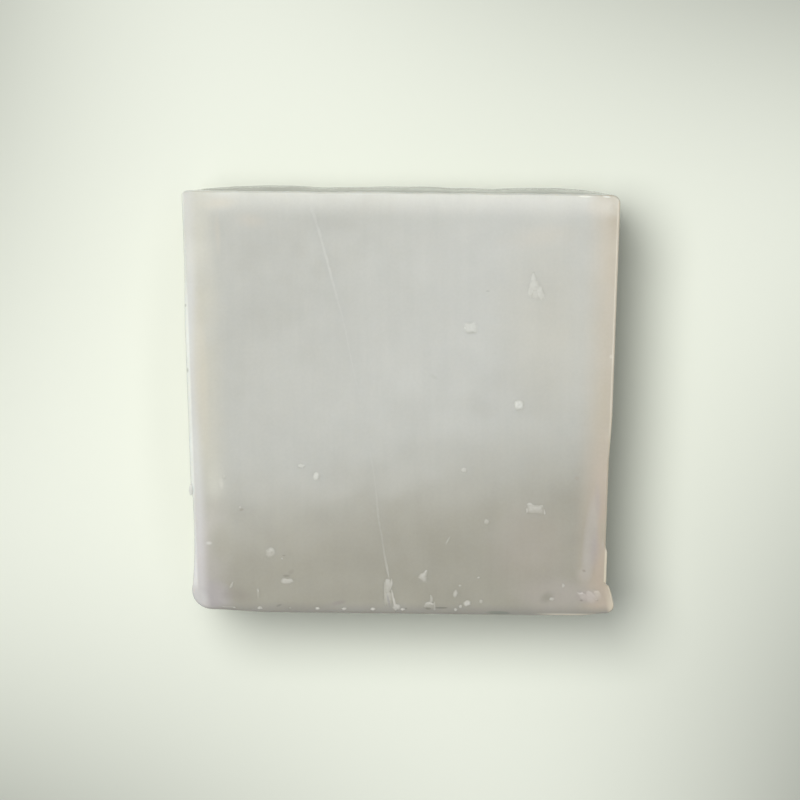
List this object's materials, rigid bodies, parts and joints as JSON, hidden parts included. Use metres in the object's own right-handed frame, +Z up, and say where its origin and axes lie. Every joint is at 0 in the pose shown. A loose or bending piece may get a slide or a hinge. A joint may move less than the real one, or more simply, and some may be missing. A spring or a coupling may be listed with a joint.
{
  "type": "bar of soap",
  "caption": "Square hand-cut slice of loaf soap with tapered sides, rounded edges, a low crowned poured side and cutting marks on its upper face.",
  "frame": {"origin": "under the middle of the bar, on the cut face that it lies on", "axes": "+Z up through the slice, towards the cut face that shows; +Y towards the poured side; -Y towards the side that set on the mould floor; +X to the right across the bar"},
  "size_m": [0.0702, 0.0696, 0.0255],
  "materials": {
    "soap": "satin, slightly translucent"
  },
  "bodies": {
    "root": {"soap_bar": "soap"}
  },
  "joints": []
}
